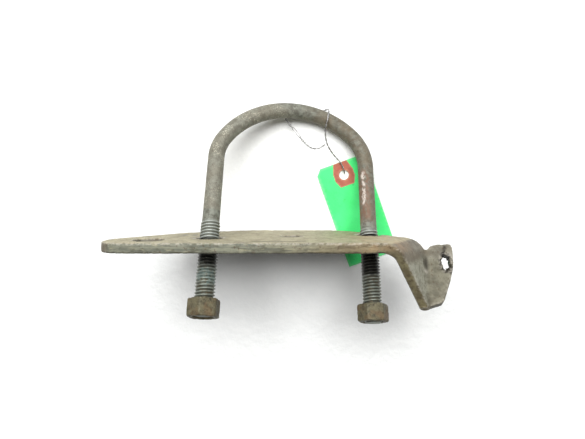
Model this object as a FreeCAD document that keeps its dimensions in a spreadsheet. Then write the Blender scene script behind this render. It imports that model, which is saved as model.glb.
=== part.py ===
import FreeCAD, Part
import os, math
import Sketcher
from FreeCAD import Vector, Placement, Rotation

# Axle U-bolt with its spring plate, two nuts and a tied-on shipping tag.
# Frame: +Z up, the assembly lies as it was put down: the plate stands on its
# lower edge, the arch of the U-bolt rests on the ground, the legs point up
# towards the nuts. +X runs along the plate, +Y from the plate to the arch.
# The origin is on the ground, under the centre of the box of the hardware.

doc = FreeCAD.newDocument("u_bolt_assembly")
sheet = doc.addObject("Spreadsheet::Sheet", "sizes")
sheet.Label = "sizes"
SIZES = {}


def put(alias, value, note=""):
    row = len(SIZES) + 2
    sheet.set("A%d" % row, alias)
    sheet.set("B%d" % row, "%.6g" % value)
    sheet.setAlias("B%d" % row, alias)
    if note:
        sheet.set("C%d" % row, note)
    SIZES[alias] = float("%.6g" % value)
    return SIZES[alias]


# ---------------------------------------------------------------- dimensions
# place of the plate frame in the assembly frame
put("shift_x", 4.58, "plate frame to assembly frame")
put("shift_y", -19.38, "plate frame to assembly frame")

# U-bolt: 7/16-14 rolled thread, so the shank is thinner than the thread
put("rod_dia", 9.93, "shank, pitch diameter of 7/16-14")
put("thread_dia", 11.11, "major diameter of 7/16-14")
put("thread_pitch", 1.814)
put("leg_spacing", 95.5, "centre to centre")
put("leg_end", 45.6, "leg end below the hinge centre")
put("thread_top_left", 8.6, "top of the thread above the hinge centre")
put("thread_top_right", 11.0)
put("crown_radius", 53.19, "centreline")
put("crown_x", 1.94, "crown centre, off the middle")
put("crown_y", 37.05)
put("shoulder_radius_left", 27.63)
put("shoulder_radius_right", 29.60)
put("rod_end_chamfer", 1.2)
put("bolt_lift", 44.3, "height of the hinge centre")

# nuts: 7/16-14, 5/8 across the flats
put("nut_flats", 15.9, "across flats")
put("nut_height", 9.9)
put("nut_bore", 11.31, "running clearance on the thread")
put("nut_cone", 1.25, "chamfer depth on the corners, measured along a flat")
put("nut_left_end", 46.5, "lower face below the hinge centre")
put("nut_right_end", 45.1)
put("nut_left_turn", 15.0, "degrees")
put("nut_right_turn", 50.0, "degrees")

# plate
put("plate_thick", 5.6)
put("plate_top", 80.5, "height of the upper edge")
put("leg_hole_dia", 15.5)
put("centre_hole_dia", 12.7)
put("end_hole_dia", 17.0)
put("leg_hole_left_x", -47.1)
put("leg_hole_left_z", 54.2)
put("leg_hole_right_x", 46.7)
put("leg_hole_right_z", 34.3)
put("centre_hole_x", -0.4)
put("centre_hole_z", 43.0)
put("end_hole_x", -78.0)
put("end_hole_z", 64.0)
# outline corners of the flat of the plate, x and height, with the corner radius
OUTLINE = [
    ("end_top", -101.3, 80.5, 13.0),
    ("bend_near", 44.8, 80.5, 0.0),
    ("bend_far", 64.0, 49.5, 0.0),
    ("right_mid", 47.0, 18.0, 15.0),
    ("low_right", 28.5, 0.0, 14.0),
    ("low_left", -27.0, 0.0, 18.0),
    ("taper", -67.0, 18.5, 22.0),
    ("end_low", -101.3, 60.5, 9.0),
]
for tag, px, pz, pr in OUTLINE:
    put(tag + "_x", px)
    put(tag + "_z", pz)
    if pr:
        put(tag + "_radius", pr)
# skewed fold to the tab, then the triangular tab and the ear
put("fold_radius", 5.5, "inside radius of the fold")
put("fold_angle", 75.0, "degrees")
put("tab_edge", 35.0, "length of the tab's near edge below the fold")
put("ear_angle", 60.0, "degrees between the tab and the ear")
# ear corners: distance along the crease from its upper end, and away from it
EAR = [
    ("ear_a", -0.7, 3.4), ("ear_b", -2.6, 4.6), ("ear_c", -3.5, 6.1), ("ear_d", -4.1, 8.6),
    ("ear_e", -4.3, 12.2), ("ear_f", -4.9, 14.6), ("ear_g", -4.6, 16.6), ("ear_h", -2.2, 17.5),
    ("ear_i", 4.4, 17.3), ("ear_j", 9.3, 17.0), ("ear_k", 17.3, 14.9), ("ear_l", 29.4, 10.6),
    ("ear_m", 31.1, 9.5),
]
for tag, pc, pw in EAR:
    put(tag + "_along", pc)
    put(tag + "_out", pw)
put("ear_hole_along", 7.2)
put("ear_hole_out", 13.1)
put("ear_hole_long", 11.8)
put("ear_hole_wide", 6.0)

# shipping tag: 2 3/4 by 1 3/8 in card, on the ground under the right leg
put("card_long", 70.0)
put("card_wide", 34.9)
put("card_thick", 0.35)
put("card_clip_long", 4.1)
put("card_clip_wide", 3.4)
put("card_hole_dia", 6.6)
put("card_hole_in", 9.0, "eyelet centre from the end of the card")
put("card_x", 32.0, "middle of the eyelet end")
put("card_y", 49.0)
put("card_turn", 19.8, "degrees")
put("card_rise", 0.62, "height of the eyelet end, the wire runs under it")
put("card_low", 0.03, "height of the far end")
put("patch_wide", 14.2)
put("patch_long", 16.6)
put("patch_waist", 9.6)
put("patch_thick", 0.18)

# doubled tie wire, two strands side by side
put("wire_dia", 0.9)

doc.recompute()
S = SIZES
SHIFT = Vector(S["shift_x"], S["shift_y"], 0)


def role(body, name):
    for f in body.Origin.OriginFeatures:
        if f.Role == name:
            return f
    raise RuntimeError(name)


def new_body(name):
    body = doc.addObject("PartDesign::Body", name)
    body.Label = name
    return body


def new_sketch(body, name, plane, offset=None):
    sk = body.newObject("Sketcher::SketchObject", name)
    sk.AttachmentSupport = [(role(body, plane), "")]
    sk.MapMode = "FlatFace"
    if offset is not None:
        sk.AttachmentOffset = offset
    return sk


def bind(sk, index, name, expr):
    sk.renameConstraint(index, name)
    sk.setExpression("Constraints." + name, expr)


def point_at(sk, geo, pos, name, ex, ey, vx, vy):
    """Fix one point of a sketch to two cells of the sheet."""
    for kind, val, ex_, sfx in (("DistanceX", vx, ex, "_x"), ("DistanceY", vy, ey, "_y")):
        i = sk.addConstraint(Sketcher.Constraint(kind, -1, 1, geo, pos, val))
        bind(sk, i, name + sfx, ex_)


def circle(sk, name, x, y, dia, ex, ey, ed):
    g = sk.addGeometry(Part.Circle(Vector(x, y, 0), Vector(0, 0, 1), dia / 2), False)
    i = sk.addConstraint(Sketcher.Constraint("Diameter", g, dia))
    bind(sk, i, name + "_dia", ed)
    if abs(x) < 1e-9 and abs(y) < 1e-9:
        sk.addConstraint(Sketcher.Constraint("Coincident", g, 3, -1, 1))
    else:
        point_at(sk, g, 3, name, ex, ey, x, y)
    return g


def polygon(sk, pts):
    """pts: list of (name, x, y, expression x, expression y)"""
    n = len(pts)
    for k in range(n):
        a, b = pts[k], pts[(k + 1) % n]
        sk.addGeometry(Part.LineSegment(Vector(a[1], a[2], 0), Vector(b[1], b[2], 0)), False)
    for k in range(n):
        sk.addConstraint(Sketcher.Constraint("Coincident", k, 2, (k + 1) % n, 1))
    for k in range(n):
        a = pts[k]
        if abs(a[1]) < 1e-9 and abs(a[2]) < 1e-9:
            sk.addConstraint(Sketcher.Constraint("Coincident", k, 1, -1, 1))
        elif abs(a[1]) < 1e-9:
            sk.addConstraint(Sketcher.Constraint("PointOnObject", k, 1, -2))
            i = sk.addConstraint(Sketcher.Constraint("DistanceY", -1, 1, k, 1, a[2]))
            bind(sk, i, a[0] + "_y", a[4])
        elif abs(a[2]) < 1e-9:
            sk.addConstraint(Sketcher.Constraint("PointOnObject", k, 1, -1))
            i = sk.addConstraint(Sketcher.Constraint("DistanceX", -1, 1, k, 1, a[1]))
            bind(sk, i, a[0] + "_x", a[3])
        else:
            point_at(sk, k, 1, a[0], a[3], a[4], a[1], a[2])


def symmetric(feat):
    """Grow a pad or pocket to both sides of its sketch."""
    if hasattr(feat, "SideType"):
        feat.SideType = "Symmetric"
    else:
        feat.Midplane = True


def matrix_placement(origin, ex, ey, ez):
    m = FreeCAD.Matrix(ex.x, ey.x, ez.x, origin.x,
                       ex.y, ey.y, ez.y, origin.y,
                       ex.z, ey.z, ez.z, origin.z,
                       0, 0, 0, 1)
    return Placement(m)


# ------------------------------------------------- directions of the U-bolt
# across: from the left leg to the right leg; along: from the nuts to the arch
along = Vector(0.01299, 0.91134, -0.41144)
along.normalize()
across = Vector(0.98168, -0.08985, -0.16800)
across = across - along * across.dot(along)
across.normalize()
facing = across.cross(along)
hinge_centre = Vector(-0.2, 0, S["bolt_lift"]) + SHIFT
bolt_frame = matrix_placement(hinge_centre, across, along, facing)

# -------------------------------------------------------------------- u_bolt
half = S["leg_spacing"] / 2
cx0, cy0, cr = S["crown_x"], S["crown_y"], S["crown_radius"]
rl, rr = S["shoulder_radius_left"], S["shoulder_radius_right"]
# centres of the two shoulder arcs, tangent to a leg and to the crown
slx, srx = -half + rl, half - rr
sly = cy0 + math.sqrt((cr - rl) ** 2 - (slx - cx0) ** 2)
sry = cy0 + math.sqrt((cr - rr) ** 2 - (srx - cx0) ** 2)
ang_l = math.atan2(sly - cy0, slx - cx0)
ang_r = math.atan2(sry - cy0, srx - cx0)

bolt = new_body("u_bolt")
path = new_sketch(bolt, "bolt_path", "XY_Plane")
g_left = path.addGeometry(Part.LineSegment(Vector(-half, -S["leg_end"], 0), Vector(-half, sly, 0)), False)
g_sl = path.addGeometry(Part.ArcOfCircle(Part.Circle(Vector(slx, sly, 0), Vector(0, 0, 1), rl), ang_l, math.pi), False)
g_cr = path.addGeometry(Part.ArcOfCircle(Part.Circle(Vector(cx0, cy0, 0), Vector(0, 0, 1), cr), ang_r, ang_l), False)
g_sr = path.addGeometry(Part.ArcOfCircle(Part.Circle(Vector(srx, sry, 0), Vector(0, 0, 1), rr), 0, ang_r), False)
g_right = path.addGeometry(Part.LineSegment(Vector(half, sry, 0), Vector(half, -S["leg_end"], 0)), False)
path.addConstraint(Sketcher.Constraint("Tangent", g_left, 2, g_sl, 2))
path.addConstraint(Sketcher.Constraint("Tangent", g_sl, 1, g_cr, 2))
path.addConstraint(Sketcher.Constraint("Tangent", g_cr, 1, g_sr, 2))
path.addConstraint(Sketcher.Constraint("Tangent", g_sr, 1, g_right, 1))
path.addConstraint(Sketcher.Constraint("Vertical", g_left))
path.addConstraint(Sketcher.Constraint("Vertical", g_right))
point_at(path, g_left, 1, "leg_left", "-sizes.leg_spacing / 2", "-sizes.leg_end", -half, -S["leg_end"])
point_at(path, g_right, 2, "leg_right", "sizes.leg_spacing / 2", "-sizes.leg_end", half, -S["leg_end"])
point_at(path, g_cr, 3, "crown", "sizes.crown_x", "sizes.crown_y", cx0, cy0)
for g, nm, al, v in ((g_cr, "crown_r", "crown_radius", cr), (g_sl, "shoulder_l", "shoulder_radius_left", rl),
                     (g_sr, "shoulder_r", "shoulder_radius_right", rr)):
    i = path.addConstraint(Sketcher.Constraint("Radius", g, v))
    bind(path, i, nm, "sizes." + al)

section = new_sketch(bolt, "bolt_section", "XZ_Plane", Placement(Vector(0, 0, S["leg_end"]), Rotation()))
g = section.addGeometry(Part.Circle(Vector(-half, 0, 0), Vector(0, 0, 1), S["rod_dia"] / 2), False)
section.addConstraint(Sketcher.Constraint("PointOnObject", g, 3, -1))
i = section.addConstraint(Sketcher.Constraint("DistanceX", -1, 1, g, 3, -half))
bind(section, i, "rod_x", "-sizes.leg_spacing / 2")
i = section.addConstraint(Sketcher.Constraint("Diameter", g, S["rod_dia"]))
bind(section, i, "rod_dia", "sizes.rod_dia")
doc.recompute()
pipe = bolt.newObject("PartDesign::AdditivePipe", "bolt_rod")
pipe.Profile = section
pipe.Spine = path
doc.recompute()

# threaded ends, at the thread's outer diameter
for side, sign, top in (("left", -1, "thread_top_left"), ("right", 1, "thread_top_right")):
    sk = new_sketch(bolt, "thread_%s_section" % side, "XZ_Plane", Placement(Vector(0, 0, S["leg_end"]), Rotation()))
    g = sk.addGeometry(Part.Circle(Vector(sign * half, 0, 0), Vector(0, 0, 1), S["thread_dia"] / 2), False)
    sk.addConstraint(Sketcher.Constraint("PointOnObject", g, 3, -1))
    i = sk.addConstraint(Sketcher.Constraint("DistanceX", -1, 1, g, 3, sign * half))
    bind(sk, i, "thread_x", "%ssizes.leg_spacing / 2" % ("-" if sign < 0 else ""))
    i = sk.addConstraint(Sketcher.Constraint("Diameter", g, S["thread_dia"]))
    bind(sk, i, "thread_dia", "sizes.thread_dia")
    doc.recompute()
    pad = bolt.newObject("PartDesign::Pad", "thread_" + side)
    pad.Profile = sk
    pad.Reversed = True
    pad.setExpression("Length", "sizes.leg_end + sizes." + top)
    doc.recompute()


def edges_where(shape, test):
    return ["Edge%d" % (k + 1) for k, e in enumerate(shape.Edges) if test(e)]


def end_circle(e):
    b = e.BoundBox
    return abs(b.YMax + S["leg_end"]) < 1e-4 and abs(b.YMin + S["leg_end"]) < 1e-4


last = bolt.Tip
cham = bolt.newObject("PartDesign::Chamfer", "leg_end_chamfer")
cham.Base = (last, edges_where(last.Shape, end_circle))
cham.setExpression("Size", "sizes.rod_end_chamfer")
bolt.Tip = cham
doc.recompute()


def run_out(e):
    b = e.BoundBox
    tops = (S["thread_top_left"], S["thread_top_right"])
    return b.YMax - b.YMin < 1e-4 and any(abs(b.YMax - q) < 1e-4 for q in tops) and \
        max(b.XMax - b.XMin, b.ZMax - b.ZMin) > S["thread_dia"] - 0.05


last = bolt.Tip
run = bolt.newObject("PartDesign::Chamfer", "thread_run_out")
run.Base = (last, edges_where(last.Shape, run_out))
run.Size = 0.5
bolt.Tip = run
bolt.Placement = bolt_frame
doc.recompute()

# ---------------------------------------------------------------------- nuts


def make_nut(name, x_expr_sign, end_alias, turn_alias):
    body = new_body(name)
    sk = new_sketch(body, name + "_hexagon", "XY_Plane")
    corner = S["nut_flats"] / math.sqrt(3)
    for k in range(6):
        a0, a1 = math.radians(60 * k), math.radians(60 * (k + 1))
        sk.addGeometry(Part.LineSegment(Vector(corner * math.cos(a0), corner * math.sin(a0), 0),
                                        Vector(corner * math.cos(a1), corner * math.sin(a1), 0)), False)
    g = sk.addGeometry(Part.Circle(Vector(0, 0, 0), Vector(0, 0, 1), corner), True)
    for k in range(6):
        sk.addConstraint(Sketcher.Constraint("Coincident", k, 2, (k + 1) % 6, 1))
    for k in range(6):
        sk.addConstraint(Sketcher.Constraint("PointOnObject", k, 1, g))
    for k in range(5):
        sk.addConstraint(Sketcher.Constraint("Equal", k, k + 1))
    sk.addConstraint(Sketcher.Constraint("Coincident", g, 3, -1, 1))
    sk.addConstraint(Sketcher.Constraint("PointOnObject", 0, 1, -1))
    i = sk.addConstraint(Sketcher.Constraint("Diameter", g, 2 * corner))
    bind(sk, i, "corners", "sizes.nut_flats * 2 / sqrt(3)")
    doc.recompute()
    pad = body.newObject("PartDesign::Pad", name + "_blank")
    pad.Profile = sk
    pad.setExpression("Length", "sizes.nut_height")
    doc.recompute()
    before = body.Shape.Volume
    # the corners are turned off to a cone at both ends
    prof = new_sketch(body, name + "_corner_cut", "XZ_Plane")
    hh = S["nut_height"]
    flat = S["nut_flats"] / 2
    out = corner + 1.0
    rise = (out - flat - 0.25) * math.tan(math.radians(30))
    low = [(flat + 0.25, -0.5), (out, -0.5), (out, rise), (flat + 0.25, 0.0)]
    high = [(x, hh - z) for x, z in low]
    n = 0
    for ring in (low, high):
        for k in range(4):
            a, b = ring[k], ring[(k + 1) % 4]
            prof.addGeometry(Part.LineSegment(Vector(a[0], a[1], 0), Vector(b[0], b[1], 0)), False)
        for k in range(4):
            prof.addConstraint(Sketcher.Constraint("Coincident", n + k, 2, n + (k + 1) % 4, 1))
        for k in range(4):
            prof.addConstraint(Sketcher.Constraint("DistanceX", -1, 1, n + k, 1, ring[k][0]))
            if abs(ring[k][1]) > 1e-9:
                prof.addConstraint(Sketcher.Constraint("DistanceY", -1, 1, n + k, 1, ring[k][1]))
            else:
                prof.addConstraint(Sketcher.Constraint("PointOnObject", n + k, 1, -1))
        n += 4
    doc.recompute()
    groove = body.newObject("PartDesign::Groove", name + "_corner_turning")
    groove.Profile = prof
    groove.ReferenceAxis = (prof, ["V_Axis"])
    groove.Angle = 360
    doc.recompute()
    if not body.Shape.Volume < before - 1:
        raise RuntimeError("nut corners not turned")
    before = body.Shape.Volume
    hole = new_sketch(body, name + "_bore", "XY_Plane")
    circle(hole, "bore", 0, 0, S["nut_bore"], "", "", "sizes.nut_bore")
    doc.recompute()
    pocket = body.newObject("PartDesign::Pocket", name + "_thread_hole")
    pocket.Profile = hole
    pocket.Type = "ThroughAll"
    pocket.Reversed = True
    doc.recompute()
    if not body.Shape.Volume < before - 500:
        raise RuntimeError("nut bore cut nothing")
    turn = math.radians(S[turn_alias])
    ex = across * math.cos(turn) + facing * (-math.sin(turn))
    ey = along.cross(ex)
    origin = hinge_centre + across * (x_expr_sign * half) - along * S[end_alias]
    body.Placement = matrix_placement(origin, ex, ey, along)
    doc.recompute()
    return body


nut_left = make_nut("nut_left", -1, "nut_left_end", "nut_left_turn")
nut_right = make_nut("nut_right", 1, "nut_right_end", "nut_right_turn")

# -------------------------------------------------------------- spring plate
flat = new_body("plate_flat")
sk = new_sketch(flat, "plate_outline", "XZ_Plane")
polygon(sk, [(t, x, z, "sizes.%s_x" % t, "sizes.%s_z" % t) for t, x, z, r in OUTLINE])
doc.recompute()
pad = flat.newObject("PartDesign::Pad", "plate_pad")
pad.Profile = sk
pad.setExpression("Length", "sizes.plate_thick")
symmetric(pad)
doc.recompute()
for tag, px, pz, pr in OUTLINE:
    if not pr:
        continue

    def corner_edge(e, px=px, pz=pz):
        b = e.BoundBox
        return b.XMax - b.XMin < 1e-4 and b.ZMax - b.ZMin < 1e-4 and \
            abs(b.XMax - px) < 1e-3 and abs(b.ZMax - pz) < 1e-3

    last = flat.Tip
    fil = flat.newObject("PartDesign::Fillet", "corner_" + tag)
    fil.Base = (last, edges_where(last.Shape, corner_edge))
    fil.setExpression("Radius", "sizes.%s_radius" % tag)
    flat.Tip = fil
    doc.recompute()
before = flat.Shape.Volume
holes = new_sketch(flat, "plate_holes", "XZ_Plane")
for nm, dia in (("leg_hole_left", "leg_hole_dia"), ("leg_hole_right", "leg_hole_dia"),
                ("centre_hole", "centre_hole_dia"), ("end_hole", "end_hole_dia")):
    circle(holes, nm, S[nm + "_x"], S[nm + "_z"], S[dia], "sizes.%s_x" % nm, "sizes.%s_z" % nm, "sizes." + dia)
doc.recompute()
pocket = flat.newObject("PartDesign::Pocket", "plate_drilling")
pocket.Profile = holes
pocket.Length = 40
symmetric(pocket)
flat.Tip = pocket
doc.recompute()
if not flat.Shape.Volume < before - 3000:
    raise RuntimeError("plate holes cut nothing")

# The fold: the right end of the plate is a straight strip that turns down
# about a fold line skewed to its edges, so both its edges keep sliding along
# the fold line while it turns. Sections across the strip are lofted.
tt = S["plate_thick"]
near = Vector(S["bend_near_x"], 0, S["bend_near_z"])
far = Vector(S["bend_far_x"], 0, S["bend_far_z"])
strip = (far - near).Length
bvec = (far - near).normalize()
out = Vector(-bvec.z, 0, bvec.x)
down = Vector(0, -1, 0)
slide = bvec.x / out.x
r_in = S["fold_radius"]
r_mid = r_in + tt / 2
alpha = math.radians(S["fold_angle"])


def fold_section(theta):
    """Rectangle across the strip, theta round the fold."""
    radial = Vector(0, 1, 0) * math.cos(theta) + out * math.sin(theta)
    centre = near + down * r_mid
    sweep = bvec * (slide * r_mid * theta)
    pts = []
    for along_fold, rad in ((0, r_in), (strip, r_in), (strip, r_in + tt), (0, r_in + tt)):
        pts.append(centre + sweep + bvec * along_fold + radial * rad)
    return pts


wires = []
steps = 6
for k in range(steps + 1):
    wires.append(Part.makePolygon(fold_section(alpha * k / steps) + [fold_section(alpha * k / steps)[0]]))
fold = doc.addObject("Part::Feature", "plate_fold")
fold.Label = "plate_fold"
fold.Shape = Part.makeLoft(wires, True, False)

# the tab: a triangle that narrows to its lower corner
end = fold_section(alpha)
tab_a = (end[0] + end[3]) * 0.5
tab_b = (end[1] + end[2]) * 0.5
tab_normal = (Vector(0, 1, 0) * math.cos(alpha) + out * math.sin(alpha)).normalize()
tab_out = out * math.cos(alpha) + down * math.sin(alpha)
edge_dir = (tab_out * out.x + bvec * bvec.x).normalize()
tab_c = tab_a + edge_dir * S["tab_edge"]


def slab(points, normal, thick):
    """Flat piece of the sheet, thick on both sides of its mid-surface."""
    shifted = [q - normal * (thick / 2) for q in points]
    face = Part.Face(Part.makePolygon(shifted + [shifted[0]]))
    return face.extrude(normal * thick)


tab = doc.addObject("Part::Feature", "plate_tab")
tab.Label = "plate_tab"
tab.Shape = slab([tab_a, tab_b, tab_c], tab_normal, tt)

# the ear, folded the other way along the tab's far edge
crease = (tab_c - tab_b).normalize()
away = tab_normal.cross(crease)
if away.x < 0:
    away = away * -1
eang = math.radians(S["ear_angle"])
ear_out = away * math.cos(eang) + tab_normal * math.sin(eang)
ear_normal = tab_normal * math.cos(eang) - away * math.sin(eang)
ear_pts = [tab_b]
for tag, pc, pw in EAR:
    ear_pts.append(tab_b + crease * S[tag + "_along"] + ear_out * S[tag + "_out"])
ear_pts.append(tab_c)
ear = doc.addObject("Part::Feature", "plate_ear")
ear.Label = "plate_ear"
ear.Shape = slab(ear_pts, ear_normal, tt)
knuckle = doc.addObject("Part::Feature", "plate_crease")
knuckle.Label = "plate_crease"
knuckle.Shape = Part.makeCylinder(tt / 2 - 0.02, (tab_c - tab_b).Length, tab_b, crease)

body_fuse = doc.addObject("Part::MultiFuse", "plate_joined")
body_fuse.Shapes = [flat, fold, tab, ear, knuckle]
body_fuse.Refine = False
doc.recompute()

# torn hole of the ear: longer along the crease than across it
hc = tab_b + crease * S["ear_hole_along"] + ear_out * S["ear_hole_out"]
tool = doc.addObject("Part::Feature", "ear_hole_tool")
tool.Label = "ear_hole_tool"
half_run = (S["ear_hole_long"] - S["ear_hole_wide"]) / 2
rad = S["ear_hole_wide"] / 2
d1 = hc - crease * half_run
d2 = hc + crease * half_run
arc1 = Part.Arc(d1 + ear_out * rad, d1 - crease * rad, d1 - ear_out * rad).toShape()
arc2 = Part.Arc(d2 - ear_out * rad, d2 + crease * rad, d2 + ear_out * rad).toShape()
ln1 = Part.LineSegment(d1 - ear_out * rad, d2 - ear_out * rad).toShape()
ln2 = Part.LineSegment(d2 + ear_out * rad, d1 + ear_out * rad).toShape()
slot = Part.Face(Part.Wire([arc1, ln1, arc2, ln2]))
slot.translate(ear_normal * -12)
tool.Shape = slot.extrude(ear_normal * 24)
plate = doc.addObject("Part::Cut", "spring_plate")
plate.Label = "spring_plate"
plate.Base = body_fuse
plate.Tool = tool
plate.Refine = False
doc.recompute()
plate.Placement = Placement(SHIFT, Rotation())
doc.recompute()

# ----------------------------------------------------------------- the tag
# card frame: origin in the middle of the eyelet end, -y to the far end
turn = math.radians(S["card_turn"])
slope = math.asin((S["card_rise"] - S["card_low"]) / S["card_long"])
card_ex = Vector(math.cos(turn), math.sin(turn), 0)
card_ey = Vector(-math.sin(turn) * math.cos(slope), math.cos(turn) * math.cos(slope), math.sin(slope))
card_ez = card_ex.cross(card_ey)
card_origin = Vector(S["card_x"], S["card_y"], S["card_rise"]) + SHIFT


def card_frame(lift):
    return matrix_placement(card_origin + card_ez * lift, card_ex, card_ey, card_ez)


card = new_body("tag_card")
sk = new_sketch(card, "card_outline", "XY_Plane")
hw, ll, clx, cll = S["card_wide"] / 2, S["card_long"], S["card_clip_wide"], S["card_clip_long"]
polygon(sk, [
    ("clip_a", hw - clx, 0, "sizes.card_wide / 2 - sizes.card_clip_wide", ""),
    ("clip_b", hw, -cll, "sizes.card_wide / 2", "-sizes.card_clip_long"),
    ("end_a", hw, -ll, "sizes.card_wide / 2", "-sizes.card_long"),
    ("end_b", -hw, -ll, "-sizes.card_wide / 2", "-sizes.card_long"),
    ("clip_c", -hw, -cll, "-sizes.card_wide / 2", "-sizes.card_clip_long"),
    ("clip_d", -hw + clx, 0, "-sizes.card_wide / 2 + sizes.card_clip_wide", ""),
])
doc.recompute()
pad = card.newObject("PartDesign::Pad", "card_pad")
pad.Profile = sk
pad.setExpression("Length", "sizes.card_thick")
doc.recompute()


def eyelet(body, name):
    before = body.Shape.Volume
    sk = new_sketch(body, name + "_eyelet", "XY_Plane")
    g = sk.addGeometry(Part.Circle(Vector(0, -S["card_hole_in"], 0), Vector(0, 0, 1), S["card_hole_dia"] / 2), False)
    sk.addConstraint(Sketcher.Constraint("PointOnObject", g, 3, -2))
    i = sk.addConstraint(Sketcher.Constraint("DistanceY", -1, 1, g, 3, -S["card_hole_in"]))
    bind(sk, i, "eyelet_in", "-sizes.card_hole_in")
    i = sk.addConstraint(Sketcher.Constraint("Diameter", g, S["card_hole_dia"]))
    bind(sk, i, "eyelet_dia", "sizes.card_hole_dia")
    doc.recompute()
    cut = body.newObject("PartDesign::Pocket", name + "_eyelet_cut")
    cut.Profile = sk
    cut.Length = 10
    symmetric(cut)
    body.Tip = cut
    doc.recompute()
    if not body.Shape.Volume < before - 1:
        raise RuntimeError("eyelet cut nothing in " + name)


eyelet(card, "tag_card")
card.Placement = card_frame(0)

for name, lift in (("tag_patch_front", S["card_thick"]), ("tag_patch_back", -S["patch_thick"])):
    patch = new_body(name)
    sk = new_sketch(patch, name + "_outline", "XY_Plane")
    wst, wd, lg = S["patch_waist"] / 2, S["patch_wide"] / 2, S["patch_long"]
    polygon(sk, [
        ("p_a", wst, -0.05, "sizes.patch_waist / 2", "-0.05 mm"),
        ("p_b", wd, -6.2, "sizes.patch_wide / 2", "-6.2 mm"),
        ("p_c", wd, -11.6, "sizes.patch_wide / 2", "-11.6 mm"),
        ("p_d", wst, -lg, "sizes.patch_waist / 2", "-sizes.patch_long"),
        ("p_e", -wst, -lg, "-sizes.patch_waist / 2", "-sizes.patch_long"),
        ("p_f", -wd, -11.6, "-sizes.patch_wide / 2", "-11.6 mm"),
        ("p_g", -wd, -6.2, "-sizes.patch_wide / 2", "-6.2 mm"),
        ("p_h", -wst, -0.05, "-sizes.patch_waist / 2", "-0.05 mm"),
    ])
    doc.recompute()
    pad = patch.newObject("PartDesign::Pad", name + "_pad")
    pad.Profile = sk
    pad.setExpression("Length", "sizes.patch_thick")
    doc.recompute()
    eyelet(patch, name)
    patch.Placement = card_frame(lift)
doc.recompute()

# ------------------------------------------------------------- the tie wire
# One doubled wire: out of the eyelet, up to the knot, once round the rod and
# back to the knot. Straight runs joined by tangent arcs.
# points in the plate frame: x, y, height
WIRE = [
    (35.4, 41.3, 0.80),
    (34.7, 44.4, 2.75),
    (32.2, 49.5, 2.40),
    (28.6, 52.8, 2.80),
    (25.6, 56.3, 4.40),
    (22.9, 60.6, 6.60),
    (21.6, 65.8, 8.60),
    (21.5, 71.0, 10.40),
    (22.6, 75.0, 11.70),
    (23.5, 79.0, 11.20),
    (24.1, 82.1, 8.90),
    (24.2, 83.6, 5.60),
    (22.6, 83.9, 2.60),
    (18.9, 83.2, 0.78),
    (13.9, 84.2, 0.68),
    (9.0, 84.7, 0.70),
    (4.3, 84.3, 0.66),
    (-0.5, 83.4, 0.85),
    (-4.3, 81.2, 1.50),
    (-4.7, 77.8, 2.60),
    (-2.5, 74.3, 3.60),
    (1.4, 70.4, 4.50),
    (6.2, 63.7, 5.40),
    (11.2, 58.4, 6.20),
    (16.0, 57.2, 6.50),
    (19.6, 58.6, 6.50),
]


def tube(points, dia, label):
    pts = [Vector(*q) + SHIFT for q in points]
    n = len(pts)
    edges = []
    last = pts[0]
    length = 0
    print(label, "bend radii:", end=" ")
    for k in range(1, n - 1):
        a, b, c = pts[k - 1], pts[k], pts[k + 1]
        u, v = (b - a), (c - b)
        lu, lv = u.Length, v.Length
        u, v = u.normalize(), v.normalize()
        half_turn = math.acos(max(-1, min(1, u.dot(v)))) / 2
        t = 0.45 * min(lu, lv)
        r = t / math.tan(half_turn)
        print("%.1f" % r, end=" ")
        p1, p2 = b - u * t, b + v * t
        bis = (v - u).normalize()
        mid_in = b + bis * (r / math.cos(half_turn) - r)
        edges.append(Part.LineSegment(last, p1).toShape())
        edges.append(Part.Arc(p1, mid_in, p2).toShape())
        length += (p1 - last).Length + r * 2 * half_turn
        last = p2
    edges.append(Part.LineSegment(last, pts[-1]).toShape())
    length += (pts[-1] - last).Length
    print("length %.1f" % length)
    spine = Part.Wire(edges)
    d0 = (pts[1] - pts[0]).normalize()
    prof = Part.Wire([Part.Circle(pts[0], d0, dia / 2).toShape()])
    solid = spine.makePipeShell([prof], True, False)
    want = math.pi * dia * dia / 4 * length
    print(label, "volume %.2f of %.2f" % (solid.Volume, want))
    if abs(solid.Volume - want) > 0.02 * want:
        raise RuntimeError("tube volume is off")
    return solid


wire = doc.addObject("Part::Feature", "tag_wire")
wire.Label = "tag_wire"
wire.Shape = tube(WIRE, S["wire_dia"], "tag_wire")
doc.recompute()

# ------------------------------------------------------------ check and write
for obj in doc.Objects:
    if "Invalid" in obj.State or "Error" in obj.State:
        raise RuntimeError("%s: %s" % (obj.Name, obj.State))
parts = [plate, bolt, nut_left, nut_right, card,
         doc.getObject("tag_patch_front"), doc.getObject("tag_patch_back"), wire]
os.makedirs("parts", exist_ok=True)
box = None
for obj in parts:
    sh = obj.Shape.copy()
    if sh.isNull() or not sh.isValid():
        raise RuntimeError("bad shape: " + obj.Label)
    b = sh.optimalBoundingBox(False)
    print("%-16s solids %d volume %9.1f  x %.2f..%.2f y %.2f..%.2f z %.2f..%.2f" % (
        obj.Label, len(sh.Solids), sh.Volume, b.XMin, b.XMax, b.YMin, b.YMax, b.ZMin, b.ZMax))
for obj in parts:
    obj.Shape.exportStep("parts/%s.step" % obj.Label)
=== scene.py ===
import bpy, bmesh, math
import numpy as np
from mathutils import Vector, Matrix, noise


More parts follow.
